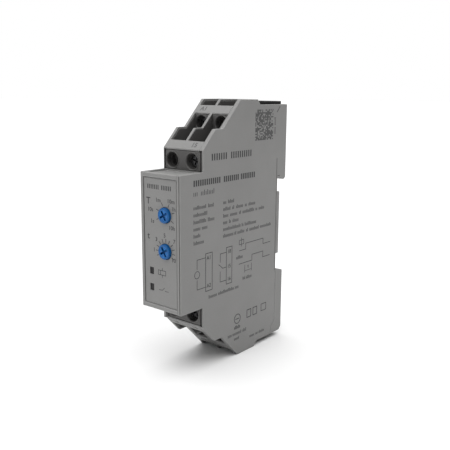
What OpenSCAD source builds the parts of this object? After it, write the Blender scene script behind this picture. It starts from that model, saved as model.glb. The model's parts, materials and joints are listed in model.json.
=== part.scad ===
// Single-module timer relay for a 35 mm top-hat rail.
// X runs across the module, the nose faces -Y, Z is up and the base rests on Z = 0.

/* [Envelope] */
// Width over both side walls (one module)
body_w = 17.5; // [17.3:0.1:17.7]
// Height over the two terminal ends
body_h = 90; // [89.5:0.5:90.5]
// Depth from the nose front to the back
body_d = 57; // [57:0.1:57.4]
// Height of the raised nose
nose_h = 45; // [44.6:0.2:45]

/* [Walls] */
// Left wall, moulded with the shell
left_wall = 1.2; // [1.1:0.05:1.2]
// Right wall, a separate clip-on cover
right_wall = 1.5; // [1.4:0.05:1.5]
// Thickness of the nose roof and floor
nose_wall = 1.6; // [1.4:0.1:1.6]

/* [Terminals] */
// Radius of the screwdriver access bores
access_r = 2.5; // [2.4:0.05:2.5]
// Distance between the two poles of a terminal block
pole_pitch = 8.7; // [8.6:0.05:8.7]
// Travel of a clamp cage from open to closed
cage_travel = 1.8; // [1:0.1:1.9]

/* [Dials] */
// Radius of the two setting knobs
knob_r = 2.5; // [2.3:0.1:2.6]
// How far the knobs stand out of the nose
knob_proud = 0.75; // [0.5:0.05:1]
// Angle of the cross recess
cross_angle = 30; // [0:5:85]

/* [Rail fixing] */
// Depth at which the rail's flanges seat
seat_d = 51.9; // [51.9:0.1:52]
// Half height of the rail opening
rail_half = 17.7; // [17.6:0.05:17.7]

/* [Hidden] */
$fn = 48;
eps = 0.1;

HOUSING = "#8c8c89";
BLOCK = "#4b4948";
KNOB = "#1e78be";
BOARD = "#2f6b3c";
STEEL = "#b9bcc0";
BRASS = "#c9a450";
BLACK = "#161616";

// Depths are measured back from the nose front and heights from mid height.
front_y = (knob_proud - body_d) / 2;
half_w = body_w / 2;
left_in = -half_w + left_wall;
right_in = half_w - right_wall;
nose_z = nose_h / 2;
top_z = body_h / 2;

// Side outline of the upper half: nose, terminal face, two steps and shoulder.
face_d = 10.6;
strip_z = 29.5;
step_d = 16.7;
step_z = 35.8;
step_len = 3.8;
crown_d = 29.5;
crown_end = 39.1;
shoulder_d = 40.8;
shoulder_z = 43.2;
slope_1 = (step_z - strip_z) / (step_d - face_d);
slope_2 = (top_z - step_z) / (crown_d - step_d - step_len);
function on_slope_1(d) = strip_z + (d - face_d) * slope_1;
function on_slope_2(d) = step_z + (d - step_d - step_len) * slope_2;
function mirrored(points) = [for (i = [len(points) - 1:-1:0]) [points[i][0], -points[i][1]]];
nose_to_shoulder = [
    [0, nose_z], [face_d, nose_z], [face_d, strip_z], [step_d, step_z],
    [step_d + step_len, step_z], [crown_d, top_z], [crown_end, top_z], [shoulder_d, shoulder_z]
];

// Rail side: hook above, seat, and the clip's chamfered recess below.
hook_tip_z = 15.8;
recess_top_z = -37.9;
recess_d = 49.6;
recess_low_z = -40.3;
rail_side = [
    [body_d, shoulder_z], [body_d, hook_tip_z + 0.8], [body_d - 1.1, hook_tip_z],
    [seat_d + 1.4, rail_half - 0.5], [seat_d + 1.2, rail_half], [seat_d, rail_half],
    [seat_d, recess_top_z], [recess_d, recess_low_z], [recess_d, -shoulder_z]
];
side_outline = concat(nose_to_shoulder, rail_side, mirrored(nose_to_shoulder));

// Terminal tiers: the rear tier is the front tier moved back and out.
tier_depth = 14.4;
tier_rise = 11.4;
block_front = face_d + 0.1;
pole_z = 25.6;
poles_mid = -0.35;
pole_left = poles_mid - pole_pitch / 2;
pole_right = poles_mid + pole_pitch / 2;
strip_run = 2.4;
strip_thick = 0.45;
rear_face_d = block_front + tier_depth;
block_gap = 0.62;

// Screw stations, measured back from a block's face.
bore_len = 2;
head_seat = 3.6;
cavity_end = 12.7;
bar_front = 8.2;
bar_thick = 0.6;
screw_end = 8;
shank_r = 1.22;
head_r = 2.05;
running = 0.06;
tab_drop = 2.6;
cage_front = 6.6;
cavity_start = cage_front - cage_travel - 0.4;
cage_back = 12.4;
cage_half = 2.2;
cage_high = 2.3;
well_out = 2.55;
well_in = 3.75;
well_floor = 4.3;
entry_half = 2.15;
entry_from = 7.2;
entry_to = 11.8;

// Boards.
board_x = -7.1;
board_thick = 1.6;
board_face = board_x + board_thick;
board_low = 17.2;
board_high = 31;
front_board_d = 7.05;
front_board_thick = 1.2;

// Dials and windows on the nose.
panel_d = 0.35;
panel_thick = 1.55;
label_thick = 0.15;
knob_x = 2.05;
range_z = 9.4;
time_z = -2.35;
window_x = -4.25;
supply_z = -9.65;
relay_z = -15.2;
window_size = [1.7, 2.3];

// Relay.
relay_front = 27;
relay_back = 42;
relay_half = 14;
relay_top = 6.2;
relay_wall = 0.8;
coil_x = 0.6;
coil_d = 34;
coil_low = -11.6;
coil_high = 3;
pivot_d = 40.2;
pivot_z = 4.25;
contact_d = 29.1;

// Clip.
clip_mid = poles_mid;
clip_front = seat_d + 0.15;
clip_back = body_d - 0.4;
stem_half = 2.4;
stem_top = -22.3;
stem_low = -29.5;
slot_low = -37.5;
slot_top = -22;
spring_r = 1.3;
wire_r = 0.22;

module placed() {
    translate([0, front_y, top_z]) children();
}

module prism(points, x_low, x_high) {
    translate([x_low, 0, 0])
        rotate([90, 0, 90])
            linear_extrude(x_high - x_low) polygon(points);
}

module box(low, high) {
    translate(low) cube(high - low);
}

module y_rod(r, x, z, d_low, d_high) {
    translate([x, d_low, z]) rotate([-90, 0, 0]) cylinder(r = r, h = d_high - d_low);
}

module x_rod(r, d, z, x_low, x_high) {
    translate([x_low, d, z]) rotate([0, 90, 0]) cylinder(r = r, h = x_high - x_low);
}

module both_ends() {
    children();
    mirror([0, 0, 1]) children();
}

module end(low) {
    mirror([0, 0, low ? 1 : 0]) children();
}

// ---- Housing ----

module label_strip(d, z) {
    prism([
        [d, z], [d + strip_run, z + strip_run * slope_1],
        [d + strip_run + strip_thick, z + strip_run * slope_1 - strip_thick],
        [d + 0.35, z - strip_thick], [d, z - strip_thick]
    ], left_in - eps, right_in - 0.05);
}

module divider_caps() {
    d1 = face_d + strip_run;
    d2 = rear_face_d + strip_run;
    level = step_z - block_gap;
    x_low = poles_mid - 0.5;
    x_high = poles_mid + 0.5;
    prism([
        [d1 - 0.1, on_slope_1(d1 - 0.1)], [step_d, step_z], [step_d + step_len, step_z],
        [rear_face_d + 0.2, on_slope_2(rear_face_d + 0.2)],
        [rear_face_d + 0.2, on_slope_2(rear_face_d + 0.2) - block_gap],
        [step_d + step_len - 0.1, level], [step_d + 0.2, level],
        [d1 + 0.3, on_slope_1(d1 + 0.3) - block_gap]
    ], x_low, x_high);
    prism([
        [d2 - 0.1, on_slope_2(d2 - 0.1)], [crown_d, top_z], [crown_end - 0.4, top_z],
        [crown_end - 0.4, top_z - block_gap], [crown_d + 0.2, top_z - block_gap],
        [d2 + 0.3, on_slope_2(d2 + 0.3) - block_gap]
    ], x_low, x_high);
}

module shoulder_frame(back_d) {
    wall_d = crown_end - 0.5;
    deck_z = shoulder_z - 1.6;
    difference() {
        prism([
            [wall_d, 36], [wall_d, top_z], [crown_end, top_z], [shoulder_d, shoulder_z],
            [shoulder_d + 1.1, shoulder_z], [shoulder_d + 1.1, deck_z],
            [back_d, deck_z], [back_d, deck_z - 1.2], [wall_d + 1.2, deck_z - 1.2],
            [wall_d + 1.2, 36]
        ], left_in - eps, right_in - 0.05);
        box([-5, shoulder_d + 2.4, deck_z - 2], [4.4, back_d - 3, deck_z + 1]);
    }
}

module nose_roof() {
    difference() {
        prism([
            [0, nose_z], [face_d + 6, nose_z],
            [face_d + 6, nose_z - nose_wall], [0, nose_z - nose_wall]
        ], left_in - eps, right_in - 0.05);
        box([left_in + 0.8, 1.3, nose_z - 0.3], [right_in - 0.8, 9.4, nose_z + 1]);
    }
}

module back_wall() {
    prism([
        [seat_d - 1.5, shoulder_z - 2], [seat_d, shoulder_z - 2], [seat_d, recess_top_z],
        [recess_d, recess_low_z], [recess_d, -shoulder_z], [recess_d - 1.4, -shoulder_z],
        [recess_d - 1.4, recess_low_z + 0.6], [seat_d - 1.5, recess_top_z + 0.5]
    ], left_in - eps, right_in - 0.05);
}

module rail_hook() {
    prism([
        [body_d - 1.4, shoulder_z], [body_d, shoulder_z], [body_d, hook_tip_z + 0.8],
        [body_d - 1.1, hook_tip_z], [seat_d + 1.4, rail_half - 0.5],
        [seat_d + 1.2, rail_half], [seat_d - 1, rail_half],
        [seat_d - 1, rail_half + 1.8], [body_d - 1.4, rail_half + 1.8]
    ], left_in - eps, right_in - 0.05);
}

rib = [[seat_d + 0.05, 11.6], [seat_d + 1.6, 11.6], [seat_d + 1.6, -11.9], [seat_d + 0.05, -11.9]];

module rail_rib() {
    prism(rib, -half_w, half_w);
    box([left_in - eps, seat_d - 1, -11.9], [right_in - 0.05, seat_d + 0.5, 11.6]);
}

module boss_places() {
    for (p = [[13.6, 18.9], [45.5, 35.4]])
        both_ends() translate([0, p[0], p[1]]) children();
}

module face_rebate() {
    box([-half_w + 0.4, face_d - eps, nose_z], [half_w - 0.4, face_d + 1.1, strip_z - 0.3]);
}

module housing_shell() {
    color(HOUSING) placed() difference() {
        union() {
            prism(side_outline, -half_w, left_in);
            both_ends() {
                nose_roof();
                label_strip(face_d, strip_z);
                label_strip(rear_face_d, on_slope_2(rear_face_d));
                divider_caps();
            }
            shoulder_frame(body_d - 1);
            end(true) shoulder_frame(recess_d - 0.5);
            back_wall();
            rail_hook();
            rail_rib();
            boss_places() x_rod(1.35, 0, 0, left_in - eps, 3);
        }
        boss_places() x_rod(0.75, 0, 0, -2, 3 + eps);
        both_ends() intersection() {
            face_rebate();
            box([-half_w, 0, 0], [left_in, body_d, top_z]);
        }
        box(
            [clip_mid - stem_half - 0.15, seat_d - 3, slot_low],
            [clip_mid + stem_half + 0.15, seat_d + 1, slot_top]
        );
    }
}

module side_cover() {
    color(HOUSING) placed() {
        difference() {
            prism(side_outline, right_in, half_w);
            both_ends() face_rebate();
        }
        boss_places() x_rod(0.7, 0, 0, -1, right_in + eps);
    }
}

module vent_insert(back_d) {
    pitch = 1.9;
    front_d = shoulder_d + 1.25;
    color(BLACK) placed() difference() {
        box([left_in + 0.1, front_d, shoulder_z - 1.55], [right_in - 0.15, back_d, shoulder_z + 1.1]);
        for (d = [front_d + 1.6:pitch:back_d - 2.2])
            box([-5.2, d, 0], [4.6, d + 0.9, top_z]);
    }
}

module upper_vent_insert() {
    vent_insert(body_d - 1.5);
}

module lower_vent_insert() {
    translate([0, 0, body_h]) mirror([0, 0, 1]) vent_insert(recess_d - 1.5);
}

// ---- Nose ----

module nose_openings(d_low, d_high) {
    for (z = [range_z, time_z])
        y_rod(knob_r + 0.15, knob_x, z, d_low, d_high);
    for (z = [supply_z, relay_z])
        box(
            [window_x - window_size[0] / 2 - 0.03, d_low, z - window_size[1] / 2 - 0.03],
            [window_x + window_size[0] / 2 + 0.03, d_high, z + window_size[1] / 2 + 0.03]
        );
}

module front_panel() {
    color(HOUSING) placed() difference() {
        box(
            [left_in + 0.05, panel_d, -nose_z + nose_wall + 0.05],
            [right_in - 0.05, panel_d + panel_thick, nose_z - nose_wall - 0.05]
        );
        nose_openings(0, 3);
    }
}

module dial_label() {
    color("#9a9894") placed() difference() {
        box(
            [left_in + 0.35, panel_d - label_thick, -nose_z + nose_wall + 0.35],
            [right_in - 0.35, panel_d, nose_z - nose_wall - 0.35]
        );
        nose_openings(0, 3);
    }
}

module setting_knob(z) {
    color(KNOB) placed() difference() {
        union() {
            y_rod(knob_r, knob_x, z, -knob_proud, 2.9);
            y_rod(0.94, knob_x, z, 2.8, 6.4);
        }
        translate([knob_x, -knob_proud, z]) rotate([0, -cross_angle, 0])
            for (turn = [0, 90]) rotate([0, turn, 0])
                box([-1.7, -1, -0.36], [1.7, 1.1, 0.36]);
    }
}

module range_knob() {
    setting_knob(range_z);
}

module time_knob() {
    setting_knob(time_z);
}

module trimmer(z) {
    half = 2.9;
    color("#d8d4c6") placed() difference() {
        box([knob_x - half, 3.4, z - half], [knob_x + half, front_board_d, z + half]);
        y_rod(1, knob_x, z, 3, front_board_d + 1);
    }
}

module range_trimmer() {
    trimmer(range_z);
}

module time_trimmer() {
    trimmer(time_z);
}

module light_window(z) {
    half = window_size / 2;
    color(BLACK) placed() {
        box([window_x - half[0], 0.15, z - half[1]], [window_x + half[0], 2.2, z + half[1]]);
        box([window_x - 1.4, 1.95, z - 1.7], [window_x + 1.4, 3.8, z + 1.7]);
    }
}

module supply_window() {
    light_window(supply_z);
}

module relay_window() {
    light_window(relay_z);
}

module led(z, tint) {
    color(tint) placed() {
        y_rod(1, window_x, z, 4, 5.6);
        box([window_x - 1.3, 5.5, z - 1.3], [window_x + 1.3, front_board_d, z + 1.3]);
    }
}

module supply_led() {
    led(supply_z, "#7fd07a");
}

module relay_led() {
    led(relay_z, "#d06a5a");
}

// ---- Boards ----

module front_board() {
    color(BOARD) placed() box(
        [left_in + 0.2, front_board_d, -19.6],
        [right_in - 0.3, front_board_d + front_board_thick, 19.6]
    );
}

module board_link_pins() {
    d_low = front_board_d + front_board_thick;
    color(BRASS) placed() for (z = [-6:3:6])
        box([board_face, d_low, z - 0.3], [board_face + 0.6, d_low + 2.5, z + 0.3]);
}

module main_board() {
    color(BOARD) placed() difference() {
        prism([
            [9, -board_low], [24, -board_low], [27.5, -board_high], [48.5, -board_high],
            [48.5, board_high], [27.5, board_high], [24, board_low], [9, board_low]
        ], board_x, board_face);
        for (slot = [[0, 0], [0, tab_drop], [1, 0]]) both_ends() {
            d = block_front + bar_front + slot[0] * tier_depth;
            z = bar_tab_z(slot[0]) - slot[1];
            box([board_x - 1, d - 0.05, z - 0.05], [board_face + 1, d + bar_thick + 0.05, z + 2]);
        }
    }
}

module timer_chip() {
    color(BLACK) placed() {
        box([board_face + 0.2, 13, 8.9], [board_face + 1.7, 23, 11.9]);
        for (d = [13.9:1.27:22.5])
            box([board_face, d, 8.1], [board_face + 0.5, d + 0.4, 12.7]);
    }
}

module smoothing_capacitor() {
    color("#26324a") placed() x_rod(4, 15.5, -9.6, board_face, 5.6);
}

module dropper_capacitor() {
    color("#c8a23a") placed() box([board_face, 11, 0.4], [5.4, 24, 7.6]);
}

module surge_varistor() {
    color("#2d5f9e") placed() {
        y_rod(4, 0.4, 22, 44, 47.2);
        for (z = [20, 24])
            box([board_face, 45.3, z - 0.3], [0, 45.9, z + 0.3]);
    }
}

// ---- Relay ----

module relay_base() {
    color("#3a3a3c") placed() difference() {
        box(
            [board_face, relay_front, -relay_half],
            [board_face + 1.4, relay_back, relay_half]
        );
        for (z = [2.4, 7])
            box([board_face - 1, contact_d - 0.75, z - 0.05], [0, contact_d + 0.75, z + 0.45]);
    }
}

module relay_case() {
    foot = board_face + 1.45;
    color("#2f3f55") placed() difference() {
        box([foot, relay_front, -relay_half], [relay_top, relay_back, relay_half]);
        box(
            [foot - 1, relay_front + relay_wall, -relay_half + relay_wall],
            [relay_top - relay_wall, relay_back - relay_wall, relay_half - relay_wall]
        );
    }
}

module coil_part(r, z_low, z_high) {
    translate([coil_x, coil_d, z_low]) cylinder(r = r, h = z_high - z_low);
}

module relay_bobbin() {
    color("#e2ddd0") placed() difference() {
        union() {
            coil_part(1.9, coil_low, coil_high);
            coil_part(4, coil_low, coil_low + 0.7);
            coil_part(4, coil_high - 0.7, coil_high);
        }
        coil_part(1.3, coil_low - 1, coil_high + 1);
    }
}

module relay_winding() {
    color("#a8582c") placed() difference() {
        coil_part(3.6, coil_low + 0.75, coil_high - 0.75);
        coil_part(1.95, coil_low, coil_high);
    }
}

module relay_yoke() {
    color(STEEL) placed() {
        box([coil_x - 3, coil_d - 3, coil_low - 1.1], [coil_x + 3, pivot_d + 0.5, coil_low - 0.1]);
        box([coil_x - 3, pivot_d - 0.6, coil_low - 1.1], [coil_x + 3, pivot_d + 0.5, pivot_z - 0.1]);
        coil_part(1.25, coil_low - 0.5, coil_high + 0.3);
        coil_part(2.4, coil_high + 0.1, coil_high + 0.7);
    }
}

module relay_armature() {
    color(STEEL) placed() {
        box([coil_x - 3, coil_d - 3, pivot_z], [coil_x + 3, pivot_d + 0.4, pivot_z + 0.9]);
        box([coil_x - 1.5, contact_d - 0.7, pivot_z + 0.8], [coil_x + 1.5, pivot_d, pivot_z + 1.1]);
        translate([coil_x, contact_d, pivot_z + 0.3]) cylinder(r = 0.65, h = 1.5);
    }
}

module relay_fixed_contacts() {
    half = 0.65;
    color(BRASS) placed() {
        for (z = [2.4, 7])
            box(
                [board_face, contact_d - half, z],
                [coil_x + half, contact_d + half, z + 0.4]
            );
        translate([coil_x, contact_d, 2.7]) cylinder(r = half, h = 1.22);
        translate([coil_x, contact_d, 6.1]) cylinder(r = half, h = 1);
    }
}

// ---- Terminals ----

function bar_tab_z(tier) = tier == 0 ? board_low - 1.5 : board_high - 1.5;

front_block_outline = [
    [block_front, nose_z + 0.1], [block_front, strip_z - 0.75],
    [face_d + strip_run + 0.3, on_slope_1(face_d + strip_run + 0.3) - 0.95],
    [step_d + 0.25, step_z - block_gap - 0.1], [step_d + step_len - 0.15, step_z - block_gap - 0.1],
    [rear_face_d - 0.2, on_slope_2(rear_face_d - 0.2) - block_gap - 0.15],
    [rear_face_d - 0.2, nose_z + 0.1]
];
rear_block_outline = [
    [rear_face_d, 33.7], [rear_face_d, on_slope_2(rear_face_d) - 0.75],
    [rear_face_d + strip_run + 0.3, on_slope_2(rear_face_d + strip_run + 0.3) - 0.95],
    [crown_d + 0.3, top_z - block_gap - 0.15], [crown_end - 0.7, top_z - block_gap - 0.15],
    [crown_end - 0.7, 33.7]
];

module pole_cutouts(x, face, z) {
    y_rod(access_r, x, z, face - 1, face + bore_len);
    y_rod(head_r + 0.25, x, z, face + bore_len - eps, face + head_seat);
    y_rod(shank_r + running, x, z, face, face + cavity_start + eps);
    box(
        [x - cage_half - 0.15, face + cavity_start, z - cage_high - 0.2],
        [x + cage_half + 0.15, face + cavity_end, z + cage_high + 0.2]
    );
    box([x - entry_half, face + entry_from, z], [x + entry_half, face + entry_to, z + 6]);
    box(
        [x - (x < poles_mid ? well_out : well_in), face + strip_run + 0.5, z + well_floor],
        [x + (x < poles_mid ? well_in : well_out), face + tier_depth, z + 25]
    );
    box(
        [x - 1.55, face + bar_front - 0.05, z - 6],
        [x + 1.55, face + bar_front + bar_thick + 0.05, z]
    );
}

module terminal_block(tier, outline) {
    face = block_front + tier * tier_depth;
    z = pole_z + tier * tier_rise;
    color(BLOCK) placed() difference() {
        union() {
            prism(outline, left_in + 0.05, right_in - 0.25);
            if (tier == 0) box(
                [-half_w + 0.45, face, nose_z + 0.1],
                [half_w - 0.45, face + 0.9, strip_z - 0.75]
            );
            for (x = [pole_left, pole_right])
                y_rod(access_r + 0.3, x, z, face - 0.15, face + 1);
        }
        for (x = [pole_left, pole_right]) pole_cutouts(x, face, z);
        if (tier == 0) for (x = [-half_w + 0.7, half_w - 1.3])
            box([x, face - eps, nose_z], [x + 0.5, face + 0.4, strip_z]);
    }
}

module lower_end() {
    translate([0, 0, body_h]) mirror([0, 0, 1]) children();
}

module upper_front_block() {
    terminal_block(0, front_block_outline);
}

module upper_rear_block() {
    terminal_block(1, rear_block_outline);
}

module lower_front_block() {
    lower_end() terminal_block(0, front_block_outline);
}

module lower_rear_block() {
    lower_end() terminal_block(1, rear_block_outline);
}

module terminal_screw(x, tier, low) {
    face = block_front + tier * tier_depth;
    z = pole_z + tier * tier_rise;
    color(STEEL) placed() end(low) difference() {
        union() {
            y_rod(head_r, x, z, face + bore_len, face + head_seat - 0.02);
            y_rod(shank_r, x, z, face + head_seat - 0.1, face + screw_end);
        }
        translate([x, face + bore_len, z]) for (turn = [20, 110]) rotate([0, turn, 0])
            box([-1.4, -1, -0.3], [1.4, 0.9, 0.3]);
    }
}

module clamp_cage(x, tier, low) {
    face = block_front + tier * tier_depth;
    z = pole_z + tier * tier_rise;
    color(BRASS) placed() end(low) difference() {
        box(
            [x - cage_half, face + cage_front, z - cage_high],
            [x + cage_half, face + cage_back, z + cage_high]
        );
        box(
            [x - 1.6, face + cage_front + 1, z - cage_high - 1],
            [x + 1.6, face + cage_back - 0.9, z + cage_high + 1]
        );
        y_rod(shank_r + running, x, z, face + cage_front - 1, face + cage_front + 2);
    }
}

module contact_bar(x, tier, drop) {
    d = block_front + bar_front + tier * tier_depth;
    z = pole_z + tier * tier_rise;
    tab = bar_tab_z(tier) - drop;
    box([x - 1.5, d, tab + 1.2], [x + 1.5, d + bar_thick, z + 2.1]);
    box([board_x - 0.4, d, tab], [x + 1.5, d + bar_thick, tab + 1.9]);
}

module screw_a1() {
    terminal_screw(pole_left, 1, false);
}

module screw_15() {
    terminal_screw(pole_right, 0, false);
}

module screw_a2() {
    terminal_screw(pole_left, 1, true);
}

module screw_16() {
    terminal_screw(pole_right, 0, true);
}

module screw_18() {
    terminal_screw(pole_left, 0, true);
}

module cage_a1() {
    clamp_cage(pole_left, 1, false);
}

module cage_15() {
    clamp_cage(pole_right, 0, false);
}

module cage_a2() {
    clamp_cage(pole_left, 1, true);
}

module cage_16() {
    clamp_cage(pole_right, 0, true);
}

module cage_18() {
    clamp_cage(pole_left, 0, true);
}

module upper_contact_bars() {
    color(BRASS) placed() {
        contact_bar(pole_left, 1, 0);
        contact_bar(pole_right, 0, tab_drop);
    }
}

module lower_contact_bars() {
    color(BRASS) placed() end(true) {
        contact_bar(pole_left, 1, 0);
        contact_bar(pole_left, 0, 0);
        contact_bar(pole_right, 0, tab_drop);
    }
}

// ---- Rail clip ----

module rail_clip() {
    wide = half_w - 0.1;
    color(HOUSING) placed() difference() {
        union() {
            prism([
                [clip_front, -rail_half], [clip_back, -rail_half - 1.4], [clip_back, -41.9],
                [clip_back - 1.3, -shoulder_z], [recess_d + 0.15, -shoulder_z],
                [recess_d + 0.15, recess_low_z - 0.1], [clip_front, recess_top_z - 0.1]
            ], -wide, wide);
            prism([
                [seat_d + 1.3, -rail_half - 1], [seat_d + 1.3, -rail_half + 1],
                [seat_d + 2.3, -rail_half + 1], [clip_back, -rail_half - 1],
                [clip_back, -rail_half - 2]
            ], clip_mid - 4.5, clip_mid + 4.5);
            box(
                [clip_mid - stem_half, seat_d - 2, stem_low],
                [clip_mid + stem_half, clip_front + 0.5, stem_top]
            );
            box(
                [clip_mid - 4.2, seat_d - 2.8, stem_low],
                [clip_mid + 4.2, seat_d - 1.55, stem_top + 0.8]
            );
        }
        box(
            [clip_mid - 1.9, clip_front - 1, slot_low - 0.5],
            [clip_mid + 1.9, clip_front + 1.2, stem_low]
        );
        box([clip_mid - 2.2, seat_d + 1.6, -44], [clip_mid + 2.2, seat_d + 3.1, -38.5]);
    }
}

// Helical compression spring: a ring of wire_sides points at each step along the helix.
spring_turns = 6;
wire_sides = 8;
spring_steps = spring_turns * 14;
spring_low = slot_low + 0.05;
spring_high = stem_low - 0.05;
spring_rise = (spring_high - spring_low - 2 * wire_r) / spring_turns;

function helix_ring(i) = let (
    turn = 360 * spring_turns * i / spring_steps,
    z = spring_low + wire_r + spring_rise * spring_turns * i / spring_steps
) [for (k = [0:wire_sides - 1]) let (a = 360 * k / wire_sides, r = spring_r + wire_r * cos(a))
    [r * cos(turn), r * sin(turn), z + wire_r * sin(a)]];

module rail_clip_spring() {
    points = [for (i = [0:spring_steps]) each helix_ring(i)];
    skin = [for (i = [0:spring_steps - 1]) for (k = [0:wire_sides - 1]) let (
        next = (k + 1) % wire_sides
    ) [i * wire_sides + k, (i + 1) * wire_sides + k, (i + 1) * wire_sides + next, i * wire_sides + next]];
    start = [[for (k = [0:wire_sides - 1]) k]];
    finish = [[for (k = [wire_sides - 1:-1:0]) spring_steps * wire_sides + k]];
    color(STEEL) placed() translate([clip_mid, seat_d - 0.7, 0])
        polyhedron(points = points, faces = concat(skin, start, finish), convexity = 8);
}

housing_shell();
side_cover();
front_panel();
dial_label();
range_knob();
time_knob();
range_trimmer();
time_trimmer();
supply_window();
relay_window();
supply_led();
relay_led();
front_board();
board_link_pins();
main_board();
relay_base();
relay_case();
relay_bobbin();
relay_winding();
relay_yoke();
relay_armature();
relay_fixed_contacts();
smoothing_capacitor();
dropper_capacitor();
timer_chip();
surge_varistor();
upper_front_block();
upper_rear_block();
lower_front_block();
lower_rear_block();
screw_a1();
screw_15();
screw_a2();
screw_16();
screw_18();
cage_a1();
cage_15();
cage_a2();
cage_16();
cage_18();
upper_contact_bars();
lower_contact_bars();
rail_clip();
rail_clip_spring();
upper_vent_insert();
lower_vent_insert();
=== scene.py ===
"""Looks of a single-module timer relay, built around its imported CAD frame.

Pieces are drawn in millimetres as (x, depth, height): depth runs back from the nose front and height
is counted from mid height. finish_piece() carries them into the row frame, in metres.
"""

import json
import math
import random

import bmesh
import bpy
from mathutils import Matrix, Vector


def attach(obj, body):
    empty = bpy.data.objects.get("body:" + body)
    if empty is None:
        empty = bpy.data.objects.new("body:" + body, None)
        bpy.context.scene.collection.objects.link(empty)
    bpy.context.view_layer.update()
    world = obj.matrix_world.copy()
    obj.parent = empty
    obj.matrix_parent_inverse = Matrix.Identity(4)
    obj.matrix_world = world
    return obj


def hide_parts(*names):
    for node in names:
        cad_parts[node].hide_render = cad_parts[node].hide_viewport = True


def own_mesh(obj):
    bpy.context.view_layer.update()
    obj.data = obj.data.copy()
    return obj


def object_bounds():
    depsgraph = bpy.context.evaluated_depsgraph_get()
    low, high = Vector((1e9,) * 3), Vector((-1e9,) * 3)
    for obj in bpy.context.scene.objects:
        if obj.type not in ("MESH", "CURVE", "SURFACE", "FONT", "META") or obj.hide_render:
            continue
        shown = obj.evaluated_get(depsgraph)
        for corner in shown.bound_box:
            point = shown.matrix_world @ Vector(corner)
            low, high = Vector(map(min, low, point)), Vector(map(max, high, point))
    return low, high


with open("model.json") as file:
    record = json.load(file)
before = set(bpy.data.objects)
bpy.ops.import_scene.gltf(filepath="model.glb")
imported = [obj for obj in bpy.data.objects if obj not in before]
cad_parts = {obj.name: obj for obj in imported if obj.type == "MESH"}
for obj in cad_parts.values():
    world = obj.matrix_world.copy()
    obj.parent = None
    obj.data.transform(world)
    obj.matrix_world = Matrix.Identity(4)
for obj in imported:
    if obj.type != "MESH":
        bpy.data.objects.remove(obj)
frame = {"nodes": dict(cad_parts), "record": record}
cad_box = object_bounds()

MM = 0.001
Z = Vector((0, 0, 1))
KNOB_PROUD = 0.75
FRONT_Y = cad_box[0].y + KNOB_PROUD * MM
MID_Z = (cad_box[0].z + cad_box[1].z) / 2
TO_ROW = Matrix.Translation((0, FRONT_Y, MID_Z)) @ Matrix.Scale(MM, 4)
BODY_OF = {node: body for body, nodes in frame["record"]["behaviour"]["bodies"].items() for node in nodes}
SLOT_OF = {entry["node"]: entry["material_slot"] for entry in frame["record"]["subparts"]}


# ---- Camera, light and floor ----

CAMERA_AT = Vector((0.14032, -0.16716, 0.09289))
AZIMUTH = math.radians(39.30)
ELEVATION = math.radians(11.97)
ROLL = math.radians(0.435)
LENS_MM = 50.77
LIT_POINT = Vector((0, 0, 0.045))
AMBIENT = 0.20
SUN_TOWARDS = (-0.03, 0.0, -1)
SUN_STRENGTH = 4.1
SUN_SPREAD_DEG = 95
FRONT_LIGHT_AT = (-0.30, -0.60, 0.30)
FRONT_LIGHT_SIZE = (0.5, 0.5)
FRONT_LIGHT_WATTS = 0.9
FLOOR_R = 6
FLOOR_TONE = 0.80


def make_camera():
    ahead = Vector((
        -math.sin(AZIMUTH) * math.cos(ELEVATION),
        math.cos(AZIMUTH) * math.cos(ELEVATION),
        -math.sin(ELEVATION),
    ))
    level = ahead.cross(Z).normalized()
    lift = level.cross(ahead)
    right = math.cos(ROLL) * level + math.sin(ROLL) * lift
    up = math.cos(ROLL) * lift - math.sin(ROLL) * level
    data = bpy.data.cameras.new("camera")
    data.lens = LENS_MM
    data.sensor_width = 36
    data.clip_start = 0.01
    camera = bpy.data.objects.new("camera", data)
    aim = Matrix((right, up, -ahead)).transposed().to_4x4()
    camera.matrix_world = Matrix.Translation(CAMERA_AT) @ aim
    bpy.context.scene.collection.objects.link(camera)
    bpy.context.scene.camera = camera


def softbox(name, at, size, watts):
    data = bpy.data.lights.new(name, "AREA")
    data.shape = "RECTANGLE"
    data.size, data.size_y = size
    data.energy = watts
    lamp = bpy.data.objects.new(name, data)
    lamp.location = at
    lamp.rotation_mode = "QUATERNION"
    lamp.rotation_quaternion = (LIT_POINT - Vector(at)).to_track_quat("-Z", "Y")
    bpy.context.scene.collection.objects.link(lamp)


def overhead(name, towards, strength, spread_deg):
    """One wide, even light from above, so that the floor is equally bright out to its edge."""
    data = bpy.data.lights.new(name, "SUN")
    data.energy = strength
    data.angle = math.radians(spread_deg)
    lamp = bpy.data.objects.new(name, data)
    lamp.rotation_mode = "QUATERNION"
    lamp.rotation_quaternion = Vector(towards).to_track_quat("-Z", "Y")
    bpy.context.scene.collection.objects.link(lamp)


def make_studio():
    """White behind the part as the camera sees it, and a dimmer white as the ambient light."""
    world = bpy.data.worlds.new("studio")
    world.use_nodes = True
    nodes = world.node_tree.nodes
    seen = nodes.new("ShaderNodeMapRange")
    seen.inputs["To Min"].default_value = AMBIENT
    seen.inputs["To Max"].default_value = 1.0
    links = world.node_tree.links
    links.new(nodes.new("ShaderNodeLightPath").outputs["Is Camera Ray"], seen.inputs["Value"])
    links.new(seen.outputs["Result"], nodes["Background"].inputs["Strength"])
    nodes["Background"].inputs["Color"].default_value = (1, 1, 1, 1)
    bpy.context.scene.world = world
    overhead("overhead", SUN_TOWARDS, SUN_STRENGTH, SUN_SPREAD_DEG)
    softbox("front_light", FRONT_LIGHT_AT, FRONT_LIGHT_SIZE, FRONT_LIGHT_WATTS)
    bpy.context.scene.view_settings.view_transform = "Standard"


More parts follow.
